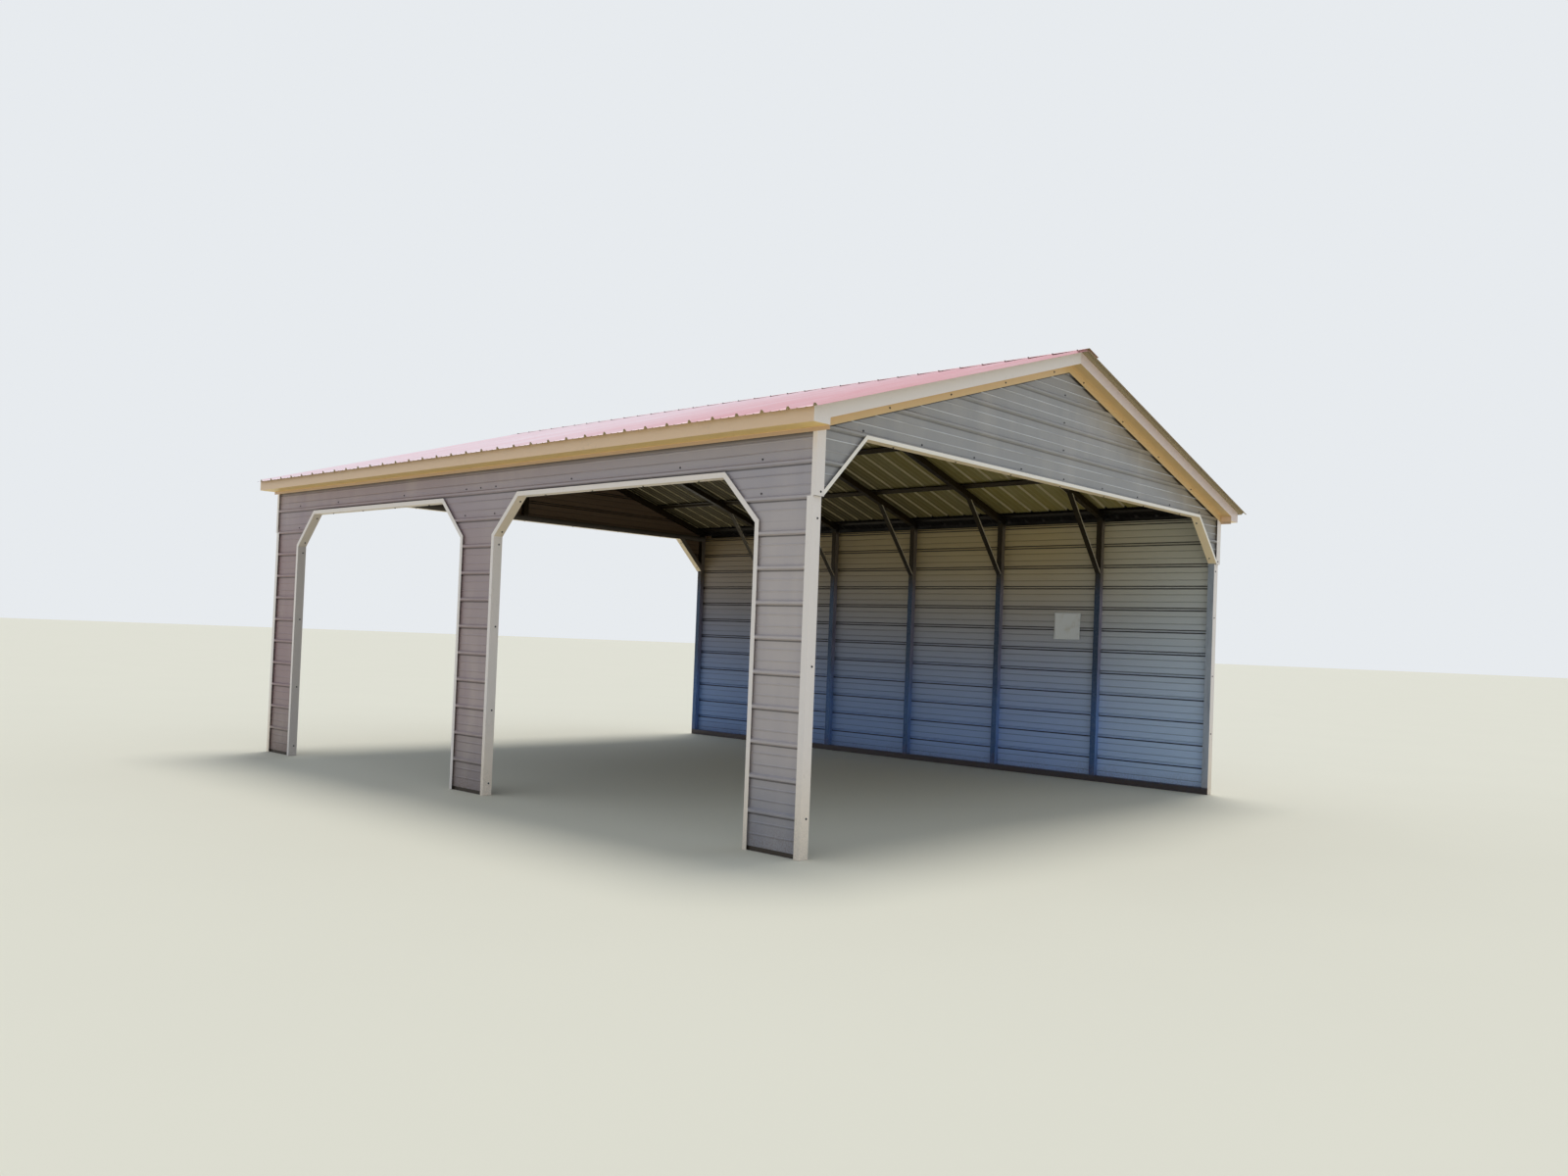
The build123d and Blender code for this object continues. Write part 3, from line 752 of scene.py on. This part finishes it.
def screw_piece(name, places):
    """Hex-headed screws with washers. Places are (point, outward direction)."""
    rng = random.Random(name)
    top = WASHER_THICKNESS + HEAD_HEIGHT
    mesh = bmesh.new()
    for point, outward_direction in places:
        spin = Matrix.Rotation(rng.uniform(0, math.pi), 3, "Z")
        turn = Vector(outward_direction).to_track_quat("Z", "Y").to_matrix() @ spin
        place = Vector(point)
        add_prism(mesh, place, turn, WASHER_SIDES, WASHER_RADIUS, 0.0, WASHER_THICKNESS, WASHER_TAPER)
        add_prism(mesh, place, turn, HEAD_SIDES, HEAD_RADIUS, WASHER_THICKNESS, top, HEAD_TAPER)
    add_piece(name, mesh, SCREWS)


def left_wall_screws():
    """Screws beside the upper ribs, at the bows over the openings and at the openings' jambs."""
    jambs = []
    for start, end in OPENINGS:
        jambs += [start - TUBE / 2, end + TUBE / 2]
    over_header = SIDE_OPENING_HEIGHT + TUBE / 2
    over_corner = SIDE_OPENING_HEIGHT - SIDE_CORNER
    places = []
    for rib in WALL_RIBS:
        height = rib + SCREW_ABOVE_RIB
        for rows, lowest in ((FRAME_MIDDLES[1:-1], over_header), (jambs, over_corner)):
            if height > lowest:
                places += [((-HALF_WIDTH - SHEET, y, height), (-1, 0, 0)) for y in rows]
    return places


def right_wall_screws():
    """Screws beside each rib, at each bow between the end ones."""
    places = []
    for rib in WALL_RIBS:
        for y in FRAME_MIDDLES[1:-1]:
            places.append(((HALF_WIDTH + SHEET, y, rib + SCREW_ABOVE_RIB), (1, 0, 0)))
    return places


def side_trim_screws():
    """Screws through the returns of the left wall's opening trims, into the jambs and corner tubes."""
    heights = (0.10, 0.71, 1.41, 2.10)
    header_step = 0.60
    places = []
    low = SIDE_OPENING_HEIGHT - SIDE_CORNER
    for start, end in OPENINGS:
        for edge, inward in ((start, 1), (end, -1)):
            for height in heights:
                places.append(((-TUBE_MIDDLE, edge + inward * TRIM, height), (0, inward, 0)))
            for share in CORNER_SCREWS:
                reach = share * SIDE_CORNER
                point = (-TUBE_MIDDLE, edge + inward * (reach + TRIM), low + reach - TRIM)
                places.append((point, (0, inward, -1)))
        y = start + SIDE_CORNER + header_step / 2
        while y < end - SIDE_CORNER:
            places.append(((-TUBE_MIDDLE, y, SIDE_OPENING_HEIGHT - TRIM), (0, 0, -1)))
            y += header_step
    return places


def end_trim_screws():
    """Screws through the returns of the trims under the gables."""
    header_step = 0.75
    header_steps = int((COLUMN_INNER - END_CORNER) / header_step)
    places = []
    low = END_OPENING_HEIGHT - END_CORNER
    for face, outward_sign in ENDS:
        y = face - outward_sign * TUBE / 2
        for side in (-1, 1):
            for share in CORNER_SCREWS:
                x = side * (COLUMN_INNER - share * END_CORNER - TRIM)
                places.append(((x, y, low + share * END_CORNER - TRIM), (-side, 0, -1)))
        for index in range(-header_steps, header_steps + 1):
            places.append(((index * header_step, y, END_OPENING_HEIGHT - TRIM), (0, 0, -1)))
    return places


def corner_trim_screws():
    """Screws through the corner trims' faces, into the end columns."""
    left_heights = (0.26, 1.23, 2.18)
    right_heights = (0.61, 1.19, 1.78, 2.25)
    upper_height = 2.35
    places = []
    for face, outward_sign in ENDS:
        for side, heights in ((-1, left_heights), (1, right_heights)):
            x = side * TUBE_MIDDLE
            for height in heights:
                places.append(((x, face + outward_sign * TRIM, height), (0, outward_sign, 0)))
            places.append(((x, face + outward_sign * CLAD_FACE, upper_height), (0, outward_sign, 0)))
    return places


def rake_screws():
    """Screws through the rakes' flanges, on the gables."""
    off_ridge = (0.24, 0.95, 1.66, 2.37)
    places = []
    for face, outward_sign in ENDS:
        for side in (-1, 1):
            for x in off_ridge:
                point = (side * x, face + outward_sign * CLAD_FACE, fascia_bottom(x) - RAKE_FLANGE / 2)
                places.append((point, (0, outward_sign, 0)))
    return places


def gable_screws():
    """Screws in the gables, on the centre stud and along the cross tube."""
    stud_x = -0.02
    cross_step = 0.655
    cross_steps = 4
    above_seam = 0.055
    places = []
    for face, outward_sign in ENDS:
        y = face + outward_sign * SHEET
        for rib in GABLE_RIBS:
            places.append(((stud_x, y, rib + SCREW_ABOVE_RIB), (0, outward_sign, 0)))
        for index in range(-cross_steps, cross_steps + 1):
            point = (index * cross_step, y, END_OPENING_HEIGHT + above_seam)
            places.append((point, (0, outward_sign, 0)))
    return places


def on_roof(side, distance, y, lift):
    """A point on one slope, at a distance down from the ridge line and a lift off the pan's underside."""
    x = distance * SLOPE_COS + lift * SLOPE_SIN
    z = pan_bottom(0) - distance * SLOPE_SIN + lift * SLOPE_COS
    return Vector((side * x, y, z))


def roof_ribs():
    """Middles of the ribs that are whole on the roof's sheets."""
    middles = []
    y = ROOF_FRONT + ROOF_FIRST_RIB
    while y + RIB_BASE / 2 < ROOF_REAR:
        middles.append(y)
        y += RIB_PITCH
    return middles


def roof_screws(side):
    """Screws beside each rib, on each row of purlins."""
    past_frame = 0.1
    places = []
    for distance in PURLIN_ROWS:
        for rib in roof_ribs():
            y = rib + SCREW_ABOVE_RIB
            if FRAME_FRONT - past_frame < y < FRAME_REAR + past_frame:
                places.append((on_roof(side, distance, y, SHEET), (side * SLOPE_SIN, 0, SLOPE_COS)))
    return places


def cap_screws():
    """Screws along both edges of the ridge cap, into the ribs' crests."""
    from_edge = 0.025
    places = []
    for side in (-1, 1):
        for rib in roof_ribs():
            point = on_roof(side, CAP_WING - from_edge, rib, SHEET + RIB_HEIGHT + SHEET)
            places.append((point, (side * SLOPE_SIN, 0, SLOPE_COS)))
    return places


screw_piece("siding_screws_left", left_wall_screws())
screw_piece("siding_screws_right", right_wall_screws())
screw_piece("opening_trim_screws", side_trim_screws())
screw_piece("gable_trim_screws", end_trim_screws())
screw_piece("corner_trim_screws", corner_trim_screws())
screw_piece("rake_screws", rake_screws())
screw_piece("gable_screws", gable_screws())
screw_piece("roof_screws_left", roof_screws(-1))
screw_piece("roof_screws_right", roof_screws(1))
screw_piece("ridge_cap_screws", cap_screws())


# Paper


def face_number(face):
    """A number for each face, from its lowest and highest vertex."""
    corners = [vertex.index for vertex in face.verts]
    return min(corners) * 1000 + max(corners)


def paper_piece():
    """A blank sheet of paper on the closed wall's inside, curled at its lower corners."""
    near, far = -2.250, -1.924
    low, high = 1.517, 1.813
    off_wall = 0.0022
    corner_curl = 0.010
    edge_curl = 0.003
    ripple_height = 0.0012
    across_waves, across_start = 9, 2.0
    up_waves, up_start = 7, 0.5
    waist_depth = 0.006
    thickness = 0.0004
    cells = 16
    mesh = bmesh.new()
    grid = []
    for row in range(cells + 1):
        line = []
        for column in range(cells + 1):
            across = column / cells
            up = row / cells
            edge = abs(2 * across - 1)
            curl = corner_curl * edge ** 3 * (1 - up) ** 2 + edge_curl * edge ** 4
            ripple = math.sin(across_waves * across + across_start) * math.sin(up_waves * up + up_start)
            waist = waist_depth * math.sin(math.pi * up) * (2 * across - 1)
            x = HALF_WIDTH - off_wall - curl - ripple_height * ripple
            line.append(mesh.verts.new((x, near + across * (far - near) - waist, low + up * (high - low))))
        grid.append(line)
    for lower, upper in zip(grid, grid[1:]):
        for cell in range(cells):
            mesh.faces.new((lower[cell], upper[cell], upper[cell + 1], lower[cell + 1]))
    bmesh.ops.recalc_face_normals(mesh, faces=mesh.faces)
    bmesh.ops.solidify(mesh, geom=mesh.faces[:], thickness=thickness)
    # The rim's faces come in any order, so they are sorted to give the same mesh each run
    mesh.verts.index_update()
    mesh.faces.sort(key=face_number)
    for polygon in add_piece("paper", mesh, paper_material()).polygons:
        polygon.use_smooth = True


paper_piece()


# Camera, matched to the photograph

IMAGE_WIDTH = 1600
IMAGE_HEIGHT = 1200
FOCAL_PIXELS = 1233.19
SENSOR = 36.0
CENTRE_X = 805.64
CENTRE_Y = 625.26
CAMERA_PLACE = Vector((-8.8297, -8.8814, 1.3988))
CAMERA_YAW = 0.82609
CAMERA_PITCH = 0.02204
CAMERA_ROLL = 0.0386
CAMERA_SIGHT = 500.0


def add_camera():
    data = bpy.data.cameras.new("camera")
    data.sensor_fit = "HORIZONTAL"
    data.sensor_width = SENSOR
    data.lens = FOCAL_PIXELS / IMAGE_WIDTH * SENSOR
    data.shift_x = (IMAGE_WIDTH / 2 - CENTRE_X) / IMAGE_WIDTH
    data.shift_y = (CENTRE_Y - IMAGE_HEIGHT / 2) / IMAGE_WIDTH
    data.clip_end = CAMERA_SIGHT
    flat = math.cos(CAMERA_PITCH)
    forward = Vector((math.sin(CAMERA_YAW) * flat, math.cos(CAMERA_YAW) * flat, math.sin(CAMERA_PITCH)))
    level = Vector((math.cos(CAMERA_YAW), -math.sin(CAMERA_YAW), 0.0))
    above = level.cross(forward)
    right = math.cos(CAMERA_ROLL) * level + math.sin(CAMERA_ROLL) * above
    up = -math.sin(CAMERA_ROLL) * level + math.cos(CAMERA_ROLL) * above
    camera = bpy.data.objects.new("camera", data)
    turn = Matrix((right, up, -forward)).transposed().to_4x4()
    camera.matrix_world = Matrix.Translation(CAMERA_PLACE) @ turn
    bpy.context.scene.collection.objects.link(camera)
    bpy.context.scene.camera = camera


add_camera()


# Floor, backdrop and light

FLOOR_RADIUS = 220.0
FLOOR_SIDES = 96
FLOOR_DROP = 0.001
KEY_STRENGTH = 1.8
KEY_SOFTNESS = math.radians(25)
KEY_DIRECTION = Vector((0.27, 0.10, 0.96))
SKY_STRENGTH = 0.62


def add_floor():
    mesh = bmesh.new()
    bmesh.ops.create_circle(mesh, cap_ends=True, segments=FLOOR_SIDES, radius=FLOOR_RADIUS)
    data = bpy.data.meshes.new("floor")
    mesh.to_mesh(data)
    mesh.free()
    data.materials.append(floor_material())
    floor = bpy.data.objects.new("floor", data)
    floor.location.z = -FLOOR_DROP
    bpy.context.scene.collection.objects.link(floor)


def add_light():
    data = bpy.data.lights.new("key", "SUN")
    data.energy = KEY_STRENGTH
    data.angle = KEY_SOFTNESS
    key = bpy.data.objects.new("key", data)
    key.rotation_euler = KEY_DIRECTION.to_track_quat("Z", "Y").to_euler()
    bpy.context.scene.collection.objects.link(key)


def add_sky():
    world = bpy.data.worlds.new("studio")
    bpy.context.scene.world = world
    world.use_nodes = True
    tree = world.node_tree
    lighting = tree.nodes["Background"]
    lighting.inputs["Color"].default_value = SKY
    lighting.inputs["Strength"].default_value = SKY_STRENGTH
    seen = tree.nodes.new("ShaderNodeBackground")
    seen.inputs["Color"].default_value = BACKDROP
    path = tree.nodes.new("ShaderNodeLightPath")
    mix = tree.nodes.new("ShaderNodeMixShader")
    sees = compute(tree, "MAXIMUM", path.outputs["Is Camera Ray"], path.outputs["Is Glossy Ray"])
    tree.links.new(sees, mix.inputs[0])
    tree.links.new(lighting.outputs[0], mix.inputs[1])
    tree.links.new(seen.outputs[0], mix.inputs[2])
    tree.links.new(mix.outputs[0], tree.nodes["World Output"].inputs["Surface"])


add_floor()
add_light()
add_sky()
bpy.context.scene.view_settings.view_transform = "Standard"
